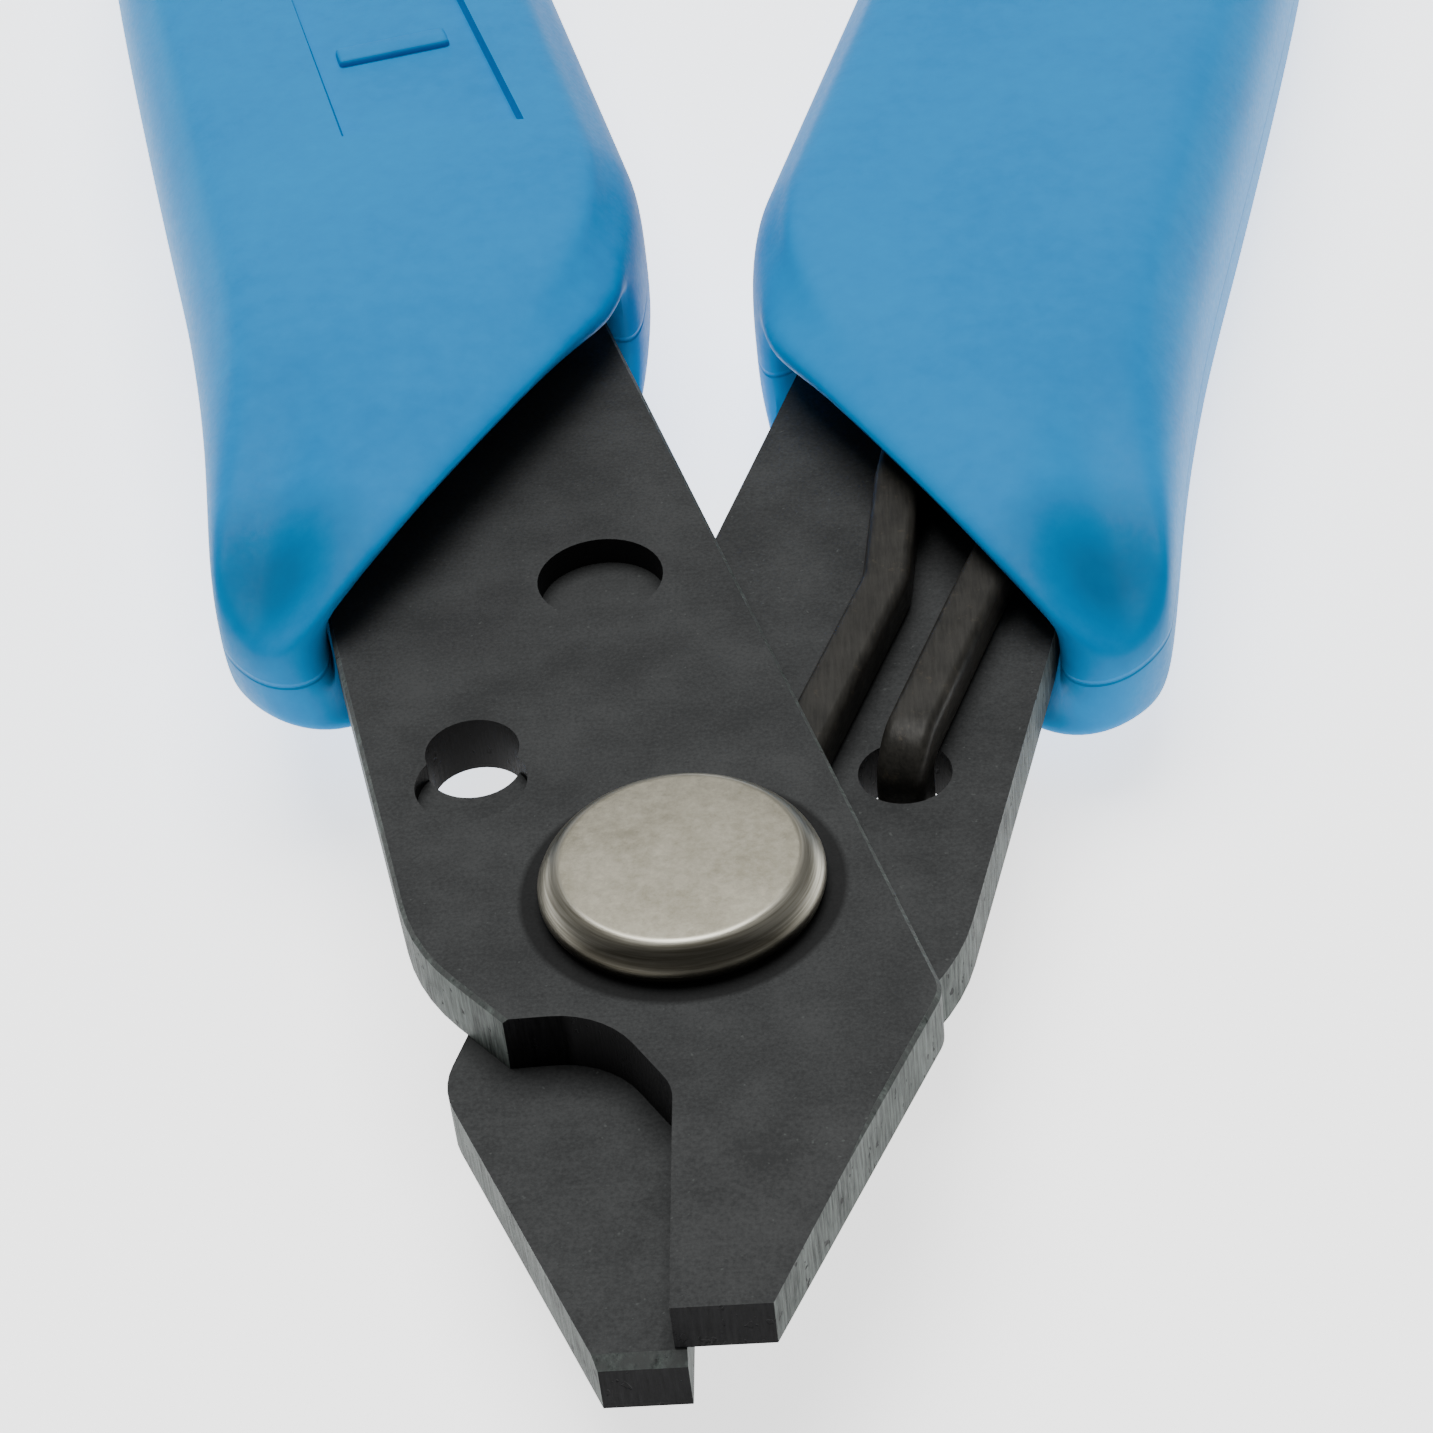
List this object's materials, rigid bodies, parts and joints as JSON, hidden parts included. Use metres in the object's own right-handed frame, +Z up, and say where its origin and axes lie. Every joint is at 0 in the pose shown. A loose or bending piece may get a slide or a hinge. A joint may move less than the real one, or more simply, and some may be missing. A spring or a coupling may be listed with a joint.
{
  "type": "flush cutter",
  "caption": "Hand cutter with two crossed steel blades on a flat-headed rivet, a hairpin return spring and bowed blue grips.",
  "frame": {"origin": "under the middle of the tool, on the surface that the right grip lies on", "axes": "+Z up along the pivot rivet, +Y from the jaws to the handle ends, +X to the right"},
  "size_m": [0.0544, 0.127, 0.0106],
  "materials": {
    "blade_steel": "black oxide, satin, with bare sheared edges",
    "rivet_metal": "nickel plated, matt face and bright rim",
    "spring_steel": "oiled dark steel",
    "grip_plastic": "satin blue moulding"
  },
  "bodies": {
    "lower_half": {"lower_blade": "blade_steel", "right_grip": "grip_plastic", "pivot_rivet": "rivet_metal", "return_spring": "spring_steel"},
    "upper_half": {"upper_blade": "blade_steel", "left_grip": "grip_plastic"}
  },
  "joints": [
    {"name": "blade_pivot", "type": "hinge", "parent": "lower_half", "child": "upper_half", "pos_m": [0, -0.04875, 0.00531], "axis": [0, 0, 1], "range_deg": [0, 12], "stiffness_Nm_per_rad": 1.7, "springref_deg": 12, "deforming": ["return_spring"]}
  ]
}
